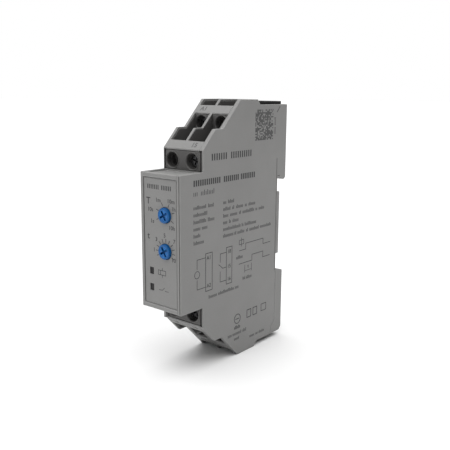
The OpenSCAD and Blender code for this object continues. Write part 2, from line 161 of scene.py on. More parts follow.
def make_floor():
    bpy.ops.mesh.primitive_circle_add(vertices=128, radius=FLOOR_R, fill_type="NGON")
    floor = bpy.context.object
    floor.name = "floor"
    pale = bpy.data.materials.new("floor")
    pale.use_nodes = True
    shader = pale.node_tree.nodes["Principled BSDF"]
    shader.inputs["Base Color"].default_value = (FLOOR_TONE, FLOOR_TONE, FLOOR_TONE, 1)
    shader.inputs["Roughness"].default_value = 0.8
    floor.data.materials.append(pale)


# ---- Materials ----


class Surface:
    """A Principled material whose colour, roughness and relief vary with the place on the object."""

    def __init__(self, name, roughness=0.5, **sockets):
        self.material = bpy.data.materials.new(name)
        self.material.use_nodes = True
        self.nodes = self.material.node_tree.nodes
        self.links = self.material.node_tree.links
        self.shader = self.nodes["Principled BSDF"]
        self.shader.inputs["Roughness"].default_value = roughness
        for socket, value in sockets.items():
            self.shader.inputs[socket.replace("_", " ")].default_value = value
        self.place = self.nodes.new("ShaderNodeTexCoord").outputs["Object"]
        self.relief = None

    def stretched(self, scale):
        mapping = self.nodes.new("ShaderNodeMapping")
        mapping.inputs["Scale"].default_value = scale
        self.links.new(self.place, mapping.inputs["Vector"])
        return mapping.outputs["Vector"]

    def noise(self, size_mm, detail=3, stretch=None):
        node = self.nodes.new("ShaderNodeTexNoise")
        node.inputs["Scale"].default_value = 1 / (size_mm * MM)
        node.inputs["Detail"].default_value = detail
        self.links.new(self.stretched(stretch) if stretch else self.place, node.inputs["Vector"])
        return node.outputs["Fac"]

    def ramp(self, value, stops):
        node = self.nodes.new("ShaderNodeValToRGB")
        elements = node.color_ramp.elements
        for element, (position, colour) in zip(elements, stops):
            element.position = position
            element.color = (*colour, 1)
        self.links.new(value, node.inputs["Fac"])
        return node.outputs["Color"]

    def mix(self, factor, one, two, blend="MIX"):
        node = self.nodes.new("ShaderNodeMix")
        node.data_type = "RGBA"
        node.blend_type = blend
        for socket, value in zip([s for s in node.inputs if s.enabled], (factor, one, two)):
            if isinstance(value, bpy.types.NodeSocket):
                self.links.new(value, socket)
            elif isinstance(value, tuple):
                socket.default_value = (*value, 1)
            else:
                socket.default_value = value
        return next(output for output in node.outputs if output.enabled)

    def colour(self, source):
        self.links.new(source, self.shader.inputs["Base Color"])

    def rough(self, value, low, high):
        node = self.nodes.new("ShaderNodeMapRange")
        node.inputs["To Min"].default_value = low
        node.inputs["To Max"].default_value = high
        self.links.new(value, node.inputs["Value"])
        self.links.new(node.outputs["Result"], self.shader.inputs["Roughness"])

    def bump(self, value, depth_mm, strength=1.0):
        node = self.nodes.new("ShaderNodeBump")
        node.inputs["Strength"].default_value = strength
        node.inputs["Distance"].default_value = depth_mm * MM
        self.links.new(value, node.inputs["Height"])
        if self.relief:
            self.links.new(self.relief, node.inputs["Normal"])
        self.relief = node.outputs["Normal"]
        self.links.new(self.relief, self.shader.inputs["Normal"])


def shade(colour, factor):
    return tuple(min(1, channel * factor) for channel in colour)


def moulding(name, colour, roughness, grain_mm=0.16, depth_mm=0.006, wear_and_highlight=1.18, **sockets):
    """Moulded plastic: spark-eroded grain, soft flow marks, and rounded edges painted a little lighter,
    partly as handling wear and partly as a painted highlight.
    """
    surface = Surface(name, **sockets)
    flow = surface.ramp(surface.noise(14, 2), [(0.3, shade(colour, 0.96)), (0.7, shade(colour, 1.03))])
    speck = surface.ramp(surface.noise(0.35, 4), [(0.32, (0.9,) * 3), (0.6, (1.0,) * 3)])
    mixed = surface.mix(0.6, flow, speck, "MULTIPLY")
    # Painted highlight and wear: the narrow faces that round the edges are made lighter, in patches, by the
    # factor wear_and_highlight.
    edge = surface.nodes.new("ShaderNodeAttribute")
    edge.attribute_name = "rubbed_and_highlit"
    patchy = surface.ramp(surface.noise(2.5, 3), [(0.35, (0.3,) * 3), (0.65, (1,) * 3)])
    rubbed_and_highlit = surface.mix(1.0, edge.outputs["Color"], patchy, "MULTIPLY")
    surface.colour(surface.mix(rubbed_and_highlit, mixed, shade(colour, wear_and_highlight)))
    surface.rough(surface.noise(1.1, 3), roughness - 0.06, roughness + 0.07)
    surface.bump(surface.noise(grain_mm, 4), depth_mm)
    surface.bump(surface.noise(9, 1), 0.03, 0.4)
    return surface.material


def metal(name, colour, roughness, stretch=(1, 1, 1)):
    """Plated metal with a light stain and the drag marks of rolling or turning."""
    surface = Surface(name, Metallic=1.0)
    surface.colour(surface.ramp(surface.noise(2.2, 4), [(0.35, shade(colour, 0.82)), (0.62, colour)]))
    surface.rough(surface.noise(0.5, 3, stretch), roughness - 0.08, roughness + 0.12)
    surface.bump(surface.noise(0.22, 3, stretch), 0.006)
    return surface.material


def printed(name, colour):
    """Pad-printed ink: slightly uneven, with the grain of what is under it."""
    surface = Surface(name)
    surface.colour(surface.ramp(surface.noise(0.25, 3), [(0.3, shade(colour, 1.35)), (0.6, colour)]))
    surface.rough(surface.noise(0.6, 2), 0.5, 0.65)
    surface.bump(surface.noise(0.16, 3), 0.003)
    return surface.material


def laminate(name):
    """Green board with its glass weave showing under the solder mask."""
    surface = Surface(name, Coat_Weight=0.3)
    weave = surface.nodes.new("ShaderNodeTexChecker")
    weave.inputs["Scale"].default_value = 1 / (0.5 * MM)
    surface.links.new(surface.place, weave.inputs["Vector"])
    surface.colour(surface.mix(weave.outputs["Fac"], (0.02, 0.13, 0.05), (0.03, 0.17, 0.065)))
    surface.rough(surface.noise(0.8, 2), 0.28, 0.42)
    surface.bump(weave.outputs["Fac"], 0.004)
    return surface.material


WIRE_MM = 0.12
WAVE_PERIOD = 0.31


def winding(name):
    """Enamelled wire, turn on turn, up the bobbin."""
    surface = Surface(name, Metallic=1.0, Coat_Weight=0.5)
    turns = surface.nodes.new("ShaderNodeTexWave")
    turns.bands_direction = "Z"
    turns.inputs["Scale"].default_value = WAVE_PERIOD / (WIRE_MM * MM)
    surface.links.new(surface.place, turns.inputs["Vector"])
    surface.colour(surface.ramp(turns.outputs["Fac"], [(0.1, (0.18, 0.05, 0.02)), (0.7, (0.7, 0.26, 0.1))]))
    surface.rough(surface.noise(0.5, 2), 0.25, 0.4)
    surface.bump(turns.outputs["Fac"], 0.04)
    return surface.material


GREY = (0.205, 0.2035, 0.1995)
MATERIALS = {
    "housing": lambda: moulding("housing", GREY, 0.52),
    "panel": lambda: moulding("panel", shade(GREY, 0.95), 0.5),
    "label": lambda: moulding("label", shade(GREY, 0.94), 0.42, grain_mm=0.3, depth_mm=0.003),
    # The knob's rounded rims are painted 1.5 times lighter: a painted highlight as well as wear.
    "knob": lambda: moulding(
        "knob", (0.001, 0.078, 0.25), 0.4, grain_mm=0.5, depth_mm=0.003, wear_and_highlight=1.5, Specular_IOR_Level=0.3,
        Subsurface_Weight=0.1, Subsurface_Scale=0.0005),
    "trimmer": lambda: moulding("trimmer", (0.68, 0.64, 0.52), 0.45),
    "window": lambda: moulding(
        "window", (0.004, 0.004, 0.0045), 0.36, grain_mm=0.6, depth_mm=0.002, Specular_IOR_Level=0.3),
    "led": lambda: moulding("led", (0.45, 0.6, 0.4), 0.25, depth_mm=0.002, Transmission_Weight=0.4),
    "board": lambda: laminate("board"),
    "brass": lambda: metal("brass", (0.72, 0.56, 0.27), 0.32, (1, 6, 1)),
    "component_black": lambda: moulding("component_black", (0.02, 0.02, 0.021), 0.5),
    "relay_case": lambda: moulding("relay_case", (0.03, 0.06, 0.13), 0.4),
    "copper": lambda: winding("copper"),
    # Painted shade: the screw metal is kept near black, so that the screws deep inside the bores look as
    # shaded as the bores.
    "screw": lambda: metal("screw", (0.10, 0.10, 0.103), 0.5),
    "steel": lambda: metal("steel", (0.58, 0.59, 0.6), 0.34, (1, 1, 5)),
    "capacitor": lambda: moulding(
        "capacitor", (0.02, 0.035, 0.08), 0.3, depth_mm=0.002, Coat_Weight=0.4),
    "film_capacitor": lambda: moulding("film_capacitor", (0.55, 0.32, 0.04), 0.45),
    "varistor": lambda: moulding("varistor", (0.03, 0.12, 0.4), 0.28, depth_mm=0.004, Coat_Weight=0.5),
    # Dark grey block, taken a little darker as painted shade so the bores look black inside; the rounded
    # rims round the bores are painted 1.5 times lighter, a painted highlight as well as wear.
    "terminal": lambda: moulding(
        "terminal", (0.069, 0.067, 0.065), 0.52, grain_mm=0.2, wear_and_highlight=1.5),
    "vent": lambda: moulding("vent", (0.006, 0.006, 0.006), 0.6, Specular_IOR_Level=0.3),
    "ink": lambda: printed("ink", (0.022, 0.022, 0.023)),
    "faint_ink": lambda: printed("faint_ink", (0.055, 0.055, 0.055)),
}
made_materials = {}


def material(name):
    if name not in made_materials:
        made_materials[name] = MATERIALS[name]()
    return made_materials[name]


# ---- Solid drawing ----

ARC_STEPS = 4
QUARTER = [math.pi / 2 * k / ARC_STEPS for k in range(ARC_STEPS + 1)]
ROUND_FACE_MM = 0.16
SHARP_DEG = 32
CIRCLE_ANGLES = [2 * math.pi * k / 32 for k in range(32)]


def cross(a, b):
    return a[0] * b[1] - a[1] * b[0]


def counter_clockwise(points):
    area = sum(cross(points[i - 1], points[i]) for i in range(len(points)))
    return list(points) if area > 0 else list(points)[::-1]


def inset(points, delta):
    """A counter-clockwise polygon with every side moved inwards by delta."""
    moved = []
    count = len(points)
    for i, point in enumerate(points):
        before = (Vector(point) - Vector(points[i - 1])).normalized()
        after = (Vector(points[(i + 1) % count]) - Vector(point)).normalized()
        normal_a, normal_b = Vector((-before.y, before.x)), Vector((-after.y, after.x))
        bisector = normal_a + normal_b
        moved.append(Vector(point) + bisector * (2 * delta / bisector.length_squared))
    return moved


def arced(points, radius, shrink):
    """Rounds every corner. shrink is how far the ring has been inset, so the arcs stay concentric."""
    ring = []
    count = len(points)
    for i, corner in enumerate(points):
        back = points[i - 1] - corner
        ahead = points[(i + 1) % count] - corner
        convex = cross(-back, ahead) > 0
        half = back.angle(ahead) / 2
        wanted = max(radius - shrink, 0.02) if convex else radius + shrink
        reach = min(wanted / math.tan(half), 0.45 * back.length, 0.45 * ahead.length)
        true_radius = reach * math.tan(half)
        centre = corner + (back.normalized() + ahead.normalized()).normalized() * (
            true_radius / math.sin(half))
        first = corner + back.normalized() * reach - centre
        last = corner + ahead.normalized() * reach - centre
        turn = math.atan2(cross(first, last), first.dot(last))
        for k in range(ARC_STEPS + 1):
            ring.append(centre + Matrix.Rotation(turn * k / ARC_STEPS, 2) @ first)
    return ring


def new_object(shape):
    """A mesh object of a finished bmesh, with its faces turned outwards."""
    mesh = bpy.data.meshes.new("part")
    bmesh.ops.recalc_face_normals(shape, faces=shape.faces)
    shape.to_mesh(mesh)
    shape.free()
    item = bpy.data.objects.new("part", mesh)
    bpy.context.scene.collection.objects.link(item)
    return item


def stacked(rings):
    """A closed solid through rings of equally many points."""
    shape = bmesh.new()
    loops = [[shape.verts.new(point) for point in ring] for ring in rings]
    for low, high in zip(loops, loops[1:]):
        for i in range(len(low)):
            shape.faces.new((low[i - 1], low[i], high[i], high[i - 1]))
    shape.faces.new(loops[0][::-1])
    shape.faces.new(loops[-1])
    return new_object(shape)


def slab(points, x_low, x_high, low_edge=0.15, high_edge=0.15, corner=0.2):
    """A profile of (depth, height) points drawn out along x, with round corners and round end edges."""
    profile = counter_clockwise(points)
    levels = [
        (x_low + low_edge - low_edge * math.cos(a), low_edge - low_edge * math.sin(a)) for a in QUARTER
    ]
    levels += [
        (x_high - high_edge + high_edge * math.sin(a), high_edge - high_edge * math.cos(a)) for a in QUARTER
    ]
    if not low_edge:
        levels = [(x_low, 0)] + levels[ARC_STEPS + 1:]
    if not high_edge:
        levels = levels[:-ARC_STEPS - 1] + [(x_high, 0)]
    return stacked([
        [(x, *point) for point in arced(inset(profile, delta), corner, delta)] for x, delta in levels
    ])


def brick(low, high, edge=0.12):
    """A box between two (x, depth, height) corners, with rounded edges."""
    sides = [(low[1], low[2]), (high[1], low[2]), (high[1], high[2]), (low[1], high[2])]
    return slab(sides, low[0], high[0], edge, edge, max(edge, 0.03))


def lathed(profile, x, z, turns=72):
    """A profile of (radius, depth) turned round the depth axis through x, z. Its ends stay off the axis."""
    angles = [2 * math.pi * k / turns for k in range(turns)]
    return stacked([
        [(x + r * math.cos(a), d, z + r * math.sin(a)) for a in angles] for r, d in profile
    ])


def round_rimmed(radius, d_low, d_high, rim):
    """The (radius, depth) profile of a disc whose front rim is rounded."""
    return [
        (radius - rim * (1 - math.sin(a)), d_low + rim * (1 - math.cos(a))) for a in QUARTER
    ] + [(radius, d_high)]


def circle(radius, d, z):
    return [(d + radius * math.cos(a), z + radius * math.sin(a)) for a in CIRCLE_ANGLES]


def combined(base, others, operation):
    """base joined with, or cut by, all the others at once."""
    group = bpy.data.collections.new("others")
    for item in others:
        group.objects.link(item)
    modifier = base.modifiers.new("cut", "BOOLEAN")
    modifier.operation = operation
    modifier.solver = "EXACT"
    modifier.use_self = True
    modifier.operand_type = "COLLECTION"
    modifier.collection = group
    graph = bpy.context.evaluated_depsgraph_get()
    mesh = bpy.data.meshes.new_from_object(base.evaluated_get(graph))
    base.modifiers.clear()
    base.data = mesh
    for item in others:
        bpy.data.objects.remove(item)
    bpy.data.collections.remove(group)
    return base


def joined(base, *others):
    return combined(base, others, "UNION")


def cut(base, *others):
    return combined(base, others, "DIFFERENCE")


def turned(item, degrees, x, z):
    """item turned about the depth axis through x, z."""
    pivot = Matrix.Translation((x, 0, z))
    item.data.transform(pivot @ Matrix.Rotation(math.radians(degrees), 4, "Y") @ pivot.inverted())
    return item


def flipped(item):
    """item mirrored to the other end of the housing."""
    item.data.transform(Matrix.Diagonal((1, 1, -1, 1)))
    item.data.flip_normals()
    return item


def both_ends(make):
    """The solid that make() draws at the upper end, and its mirror image at the lower one."""
    return [make(), flipped(make())]


def mark_rubbed_and_highlit(mesh):
    """Flags the narrow faces that round the edges, which moulding() paints lighter: partly handling wear,
    partly a painted highlight.
    """
    amounts = []
    for polygon in mesh.polygons:
        ring = [mesh.vertices[i].co for i in polygon.vertices]
        longest = max((ring[i] - ring[i - 1]).length for i in range(len(ring)))
        amounts.append(1.0 if polygon.area < ROUND_FACE_MM * MM * longest else 0.0)
    mesh.attributes.new("rubbed_and_highlit", "FLOAT", "FACE").data.foreach_set("value", amounts)


def finish_piece(item, name, nodes=(), slot=None, body=None, look=None):
    """Carries a drawn solid into the row frame and gives it its body and a material, chosen by look or else
    by its slot.
    """
    slot = slot or SLOT_OF[nodes[0]]
    item.name = name
    item.data.transform(TO_ROW)
    item.data.validate()
    for polygon in item.data.polygons:
        polygon.use_smooth = True
    item.data.set_sharp_from_angle(angle=math.radians(SHARP_DEG))
    mark_rubbed_and_highlit(item.data)
    item.data.materials.clear()
    item.data.materials.append(material(look or slot))
    item.modifiers.new("corners", "WEIGHTED_NORMAL").keep_sharp = True
    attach(item, body or BODY_OF[nodes[0]])
    if nodes:
        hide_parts(*nodes)
    return item


# ---- Housing ----

HALF_W = 8.75
LEFT_IN = -7.55
RIGHT_IN = 7.25
NOSE_Z = 22.5
NOSE_WALL = 1.6
FACE_D = 10.6
STRIP_Z = 29.5
STEP = (16.7, 35.8)
STEP_END = 20.5
CROWN = (29.5, 45.0)
CROWN_END = 39.1
SHOULDER = (40.8, 43.2)
BODY_D = 57.0
SEAT_D = 51.9
HOOK_Z = 15.8
RAIL_HALF = 17.7
RECESS = ((51.9, -37.9), (49.6, -40.3), (49.6, -43.2))
REAR_FACE_D = 25.1
STRIP_RUN = 2.4
STRIP_THICK = 0.45
GAP = 0.62
POLES_MID = -0.35
POLE_PITCH = 8.7
POLES = (POLES_MID - POLE_PITCH / 2, POLES_MID + POLE_PITCH / 2)
SLOPE_1 = (STEP[1] - STRIP_Z) / (STEP[0] - FACE_D)
SLOPE_2 = (CROWN[1] - STEP[1]) / (CROWN[0] - STEP_END)
BOSSES = [(13.6, 18.9), (45.5, 35.4)]
BOSS_R = 1.35
HOLE_R = 0.75
PEG_R = 0.7
RIB = (-11.9, 11.6)
RIB_PROUD = 1.6
DECK_HOLE_X = (-5, 4.4)
DECK_HOLE_D = 43.2

UPPER_OUTLINE = [
    (0, NOSE_Z), (FACE_D, NOSE_Z), (FACE_D, STRIP_Z), STEP, (STEP_END, STEP[1]), CROWN,
    (CROWN_END, CROWN[1]), SHOULDER,
]
HOOK = [
    (BODY_D, HOOK_Z + 0.8), (BODY_D - 1.1, HOOK_Z), (SEAT_D + 1.4, RAIL_HALF - 0.5),
    (SEAT_D + 1.2, RAIL_HALF),
]
SIDE_OUTLINE = (
    UPPER_OUTLINE + [(BODY_D, SHOULDER[1])] + HOOK + [(SEAT_D, RAIL_HALF)] + list(RECESS)
    + [(d, -z) for d, z in reversed(UPPER_OUTLINE)]
)


def slope_1(d):
    return STRIP_Z + (d - FACE_D) * SLOPE_1


def slope_2(d):
    return STEP[1] + (d - STEP_END) * SLOPE_2


def nose_edge_block(x_low, x_high):
    """Cuts a rebate for the terminal block's flange into a wall."""
    return brick((x_low, FACE_D - 1, NOSE_Z), (x_high, FACE_D + 1.1, STRIP_Z - 0.3), 0.02)


def rail_line(x_low, x_high):
    """The shallow groove that sets the rail side off from the flat of a wall."""
    return brick((x_low, SEAT_D - 0.75, -RAIL_HALF - 0.5), (x_high, SEAT_D - 0.45, 24), 0.05)


def side_cover():
    wall = slab(SIDE_OUTLINE, RIGHT_IN, HALF_W, 0.1, 0.22, 0.3)
    corner_line = brick((HALF_W - 0.62, -1, -NOSE_Z + 0.3), (HALF_W - 0.3, 0.6, NOSE_Z - 0.3), 0.05)
    wall = cut(
        wall, corner_line, rail_line(HALF_W - 0.25, HALF_W + 1),
        *both_ends(lambda: nose_edge_block(RIGHT_IN - 1, HALF_W - 0.4)))
    pegs = [
        slab(circle(PEG_R, d, s * z), -1, RIGHT_IN + 0.2, 0.15, 0, 0.01)
        for d, z in BOSSES for s in (1, -1)
    ]
    finish_piece(joined(wall, *pegs), "cover_moulding", ["side_cover"])


def cross_piece(points, edge=0.1, corner=0.15):
    """A web between the walls: it runs into the left wall and stops short of the cover."""
    return slab(points, LEFT_IN - 0.3, RIGHT_IN - 0.05, 0, edge, corner)


def nose_roof():
    return cross_piece([
        (0, NOSE_Z), (FACE_D + 6, NOSE_Z), (FACE_D + 6, NOSE_Z - NOSE_WALL), (0, NOSE_Z - NOSE_WALL)
    ], 0.1, 0.4)


def label_strip(d, z):
    """The sloping strip over a tier's face, from d, z back and up."""
    run_d, run_z = d + STRIP_RUN, z + STRIP_RUN * SLOPE_1
    return cross_piece([
        (d, z), (run_d, run_z), (run_d + STRIP_THICK, run_z - STRIP_THICK),
        (d + 0.35, z - STRIP_THICK), (d, z - STRIP_THICK),
    ], 0.06, 0.1)


def divider_caps():
    """The rims between the two poles of each tier."""
    low, high = POLES_MID - 0.5, POLES_MID + 0.5
    d1, d2 = FACE_D + STRIP_RUN, REAR_FACE_D + STRIP_RUN
    first = slab([
        (d1 - 0.1, slope_1(d1 - 0.1)), STEP, (STEP_END, STEP[1]),
        (REAR_FACE_D + 0.2, slope_2(REAR_FACE_D + 0.2)),
        (REAR_FACE_D + 0.2, slope_2(REAR_FACE_D + 0.2) - GAP),
        (STEP_END - 0.1, STEP[1] - GAP), (STEP[0] + 0.2, STEP[1] - GAP),
        (d1 + 0.3, slope_1(d1 + 0.3) - GAP),
    ], low, high, 0.14, 0.14, 0.15)
    second = slab([
        (d2 - 0.1, slope_2(d2 - 0.1)), CROWN, (CROWN_END - 0.4, CROWN[1]),
        (CROWN_END - 0.4, CROWN[1] - GAP), (CROWN[0] + 0.2, CROWN[1] - GAP),
        (d2 + 0.3, slope_2(d2 + 0.3) - GAP),
    ], low, high, 0.14, 0.14, 0.15)
    return [first, second]


def shoulder_frame(back_d):
    """The wall behind the terminals and the deck that the vent insert sits on."""
    wall_d = CROWN_END - 0.5
    deck = SHOULDER[1] - 1.6
    return cross_piece([
        (wall_d, 36), (wall_d, CROWN[1]), (CROWN_END, CROWN[1]), SHOULDER,
        (SHOULDER[0] + 1.1, SHOULDER[1]), (SHOULDER[0] + 1.1, deck), (back_d, deck),
        (back_d, deck - 1.2), (wall_d + 1.2, deck - 1.2), (wall_d + 1.2, 36),
    ])


def back_wall():
    return cross_piece([
        (SEAT_D - 1.5, SHOULDER[1] - 2), (SEAT_D, SHOULDER[1] - 2), *RECESS,
        (RECESS[2][0] - 1.4, RECESS[2][1]), (RECESS[1][0] - 1.4, RECESS[1][1] + 0.6),
        (SEAT_D - 1.5, RECESS[0][1] + 0.5),
    ])


def hook_web():
    return cross_piece([
        (BODY_D - 1.4, SHOULDER[1]), (BODY_D, SHOULDER[1]), *HOOK, (SEAT_D - 1, RAIL_HALF),
        (SEAT_D - 1, RAIL_HALF + 1.8), (BODY_D - 1.4, RAIL_HALF + 1.8),
    ])


def rail_rib():
    """The root of the rib, between the walls, and its full-width face."""
    low, high = RIB
    near, far = SEAT_D + 0.05, SEAT_D + RIB_PROUD
    root = slab([
        (SEAT_D - 1, high - 0.1), (near, high - 0.1), (near, high), (far, high),
        (far, low), (near, low), (near, low + 0.1), (SEAT_D - 1, low + 0.1),
    ], LEFT_IN - 0.3, RIGHT_IN - 0.05, 0, 0.05, 0.04)
    face = slab([(near, high), (far, high), (far, low), (near, low)], -HALF_W, HALF_W, 0.25, 0.25, 0.3)
    return root, face


def boss(d, z):
    return slab(circle(BOSS_R, d, z), LEFT_IN - 0.3, 3, 0, 0.12, 0.01)


def boss_hole(d, z):
    return slab(circle(HOLE_R, d, z), -2, 4, 0, 0, 0.01)


def housing_shell():
    wall = slab(SIDE_OUTLINE, -HALF_W, LEFT_IN, 0.32, 0.1, 0.3)
    webs = both_ends(nose_roof)
    webs += both_ends(lambda: label_strip(FACE_D, STRIP_Z))
    webs += both_ends(lambda: label_strip(REAR_FACE_D, slope_2(REAR_FACE_D)))
    webs += divider_caps() + [flipped(cap) for cap in divider_caps()]
    webs += [shoulder_frame(BODY_D - 1), flipped(shoulder_frame(RECESS[1][0] - 0.5))]
    webs += [back_wall(), hook_web(), *rail_rib()]
    webs += [boss(d, s * z) for d, z in BOSSES for s in (1, -1)]
    shell = joined(wall, *webs)
    stem_slot = brick((POLES_MID - 2.55, SEAT_D - 3, -37.5), (POLES_MID + 2.55, SEAT_D + 1, -22), 0.05)
    cuts = [stem_slot, rail_line(-HALF_W - 1, -HALF_W + 0.25)]
    cuts += both_ends(lambda: nose_edge_block(-HALF_W + 0.4, LEFT_IN + 0.05))
    cuts += [boss_hole(d, s * z) for d, z in BOSSES for s in (1, -1)]
    cuts += both_ends(lambda: brick(
        (LEFT_IN + 0.8, 1.3, NOSE_Z - 0.5), (RIGHT_IN - 0.8, 9.4, NOSE_Z + 1), 0.2))
    left, right = DECK_HOLE_X
    cuts.append(brick((left, DECK_HOLE_D, 39), (right, BODY_D - 4, 43), 0.3))
    cuts.append(flipped(brick((left, DECK_HOLE_D, 39), (right, RECESS[1][0] - 3.5, 43), 0.3)))
    finish_piece(cut(shell, *cuts), "shell_moulding", ["housing_shell"])


# ---- Nose: panel, foil, dials and windows ----

PANEL_D = 0.35
PANEL_THICK = 1.55
FOIL_D = 0.2
KNOB_R = 2.5
KNOB_X = 2.05
DIALS = {"range": 9.4, "time": -2.35}
KNOB_BACK = 2.9
SHAFT_R = 0.94
SHAFT_END = 6.4
KNOB_CROSS = (1.7, 0.36, 1.1)
CROSS_DEG = -30
WINDOW_X = -4.25
WINDOWS = {"supply": -9.65, "relay": -15.2}
WINDOW_HALF = (0.85, 1.15)
WINDOW_FLANGE = (1.4, 1.7)
WINDOW_HOLLOW = (0.55, 0.85)


def nose_holes(low_d, high_d):
    holes = [lathed([(KNOB_R + 0.15, low_d), (KNOB_R + 0.15, high_d)], KNOB_X, z) for z in DIALS.values()]
    half_x, half_z = WINDOW_HALF[0] + 0.03, WINDOW_HALF[1] + 0.03
    holes += [
        brick((WINDOW_X - half_x, low_d, z - half_z), (WINDOW_X + half_x, high_d, z + half_z), 0.03)
        for z in WINDOWS.values()
    ]
    return holes


def front_panel():
    top = NOSE_Z - NOSE_WALL - 0.05
    plate = brick((LEFT_IN + 0.05, PANEL_D, -top), (RIGHT_IN - 0.05, PANEL_D + PANEL_THICK, top), 0.12)
    finish_piece(cut(plate, *nose_holes(-1, 3)), "panel_moulding", ["front_panel"])
    edge = top - 0.3
    foil = brick((LEFT_IN + 0.35, FOIL_D, -edge), (RIGHT_IN - 0.35, PANEL_D, edge), 0.05)
    finish_piece(cut(foil, *nose_holes(-1, 3)), "dial_foil", ["dial_label"])


def setting_knob(name, z):
    face = -KNOB_PROUD
    reach, half, deep = KNOB_CROSS
    dial = lathed([
        (0.02, face + 0.1), (1.7, face + 0.1), (1.85, face), (2.12, face), (2.3, face + 0.04),
        (2.44, face + 0.14), (KNOB_R, face + 0.34), (KNOB_R, KNOB_BACK - 0.15),
        (KNOB_R - 0.15, KNOB_BACK), (SHAFT_R, KNOB_BACK), (SHAFT_R, SHAFT_END - 0.1),
        (SHAFT_R - 0.1, SHAFT_END), (0.02, SHAFT_END),
    ], KNOB_X, z)
    arms = [
        turned(brick((KNOB_X - reach, face - 1, z - half), (KNOB_X + reach, face + deep, z + half), 0.14),
               CROSS_DEG + degrees, KNOB_X, z)
        for degrees in (0, 90)
    ]
    finish_piece(cut(dial, joined(*arms)), f"{name}_dial", [f"{name}_knob"])


def light_window(name, z):
    def layer(half, d_low, d_high, edge):
        half_x, half_z = half
        return brick((WINDOW_X - half_x, d_low, z - half_z), (WINDOW_X + half_x, d_high, z + half_z), edge)

    lens = joined(layer(WINDOW_HALF, 0.15, 2.2, 0.16), layer(WINDOW_FLANGE, 1.95, 3.8, 0.2))
    hollow = layer(WINDOW_HOLLOW, -1, 0.27, 0.1)
    finish_piece(cut(lens, hollow), f"{name}_lens", [f"{name}_window"])


# ---- Terminals ----

TIER_DEPTH = 14.4
TIER_RISE = 11.4
BLOCK_FRONT = FACE_D + 0.1
POLE_Z = 25.6
ACCESS_R = 2.5
BORE_LEN = 2
HEAD_SEAT = 3.6
HEAD_R = 2.05
SHANK_R = 1.22
SCREW_END = 8
THREAD_PITCH = 0.45
CAVITY = (4.4, 12.7)
CAVITY_HALF = (2.35, 2.5)
ENTRY_HALF = 2.15
BAR_FRONT = 8.2
ENTRY = (7.2, 11.8)
BAR_THICK = 0.65
WELL_OUT = 2.55
WELL_IN = 3.75
WELL_FLOOR = 4.3
WELL_BACK = 1.2
REAR_BLOCK_LOW = 33.7
SCREW_CROSS = (1.4, 0.3, 0.9)
SCREW_CROSS_DEG = 20

FRONT_BLOCK = [
    (BLOCK_FRONT, NOSE_Z + 0.1), (BLOCK_FRONT, STRIP_Z - 0.75),
    (FACE_D + STRIP_RUN + 0.3, slope_1(FACE_D + STRIP_RUN + 0.3) - 0.95),
    (STEP[0] + 0.25, STEP[1] - GAP - 0.1), (STEP_END - 0.15, STEP[1] - GAP - 0.1),
    (REAR_FACE_D - 0.2, slope_2(REAR_FACE_D - 0.2) - GAP - 0.15), (REAR_FACE_D - 0.2, NOSE_Z + 0.1),
]
REAR_BLOCK = [
    (REAR_FACE_D, REAR_BLOCK_LOW), (REAR_FACE_D, slope_2(REAR_FACE_D) - 0.75),
    (REAR_FACE_D + STRIP_RUN + 0.3, slope_2(REAR_FACE_D + STRIP_RUN + 0.3) - 0.95),
    (CROWN[0] + 0.3, CROWN[1] - GAP - 0.15), (CROWN_END - 0.7, CROWN[1] - GAP - 0.15),
    (CROWN_END - 0.7, REAR_BLOCK_LOW),
]


def pole_cutouts(x, face, z):
    """What is cut from a block for one pole. A front well keeps a back wall up to the rear block."""
    bore = lathed([
        (ACCESS_R + 0.22, face - 1), (ACCESS_R + 0.22, face - 0.13), (ACCESS_R, face + 0.1),
        (ACCESS_R, face + BORE_LEN),
    ], x, z)
    seat = lathed([(HEAD_R + 0.25, face + BORE_LEN - 0.1), (HEAD_R + 0.25, face + HEAD_SEAT)], x, z)
    shank = lathed([(SHANK_R + 0.06, face + 1), (SHANK_R + 0.06, face + CAVITY[0] + 0.1)], x, z)
    wide, high = CAVITY_HALF
    cavity = brick((x - wide, face + CAVITY[0], z - high), (x + wide, face + CAVITY[1], z + high), 0.1)
    entry = brick((x - ENTRY_HALF, face + ENTRY[0], z), (x + ENTRY_HALF, face + ENTRY[1], z + 6), 0.25)
    left, right = (WELL_OUT, WELL_IN) if x < POLES_MID else (WELL_IN, WELL_OUT)
    front, back = face + STRIP_RUN + 0.5, face + TIER_DEPTH
    floor, sill, above = z + WELL_FLOOR, REAR_BLOCK_LOW - 0.2, z + 25
    outline = [(front, floor), (back, floor), (back, above), (front, above)]
    if floor < sill:
        outline[1:2] = [(back - WELL_BACK, floor), (back - WELL_BACK, sill), (back, sill)]
    well = slab(outline, x - left, x + right, 0.12, 0.12, 0.12)
    bar_d = face + BAR_FRONT
    bar = brick((x - 1.55, bar_d - 0.05, z - 6), (x + 1.55, bar_d + BAR_THICK, z), 0.03)
    return [bore, seat, shank, cavity, entry, well, bar]


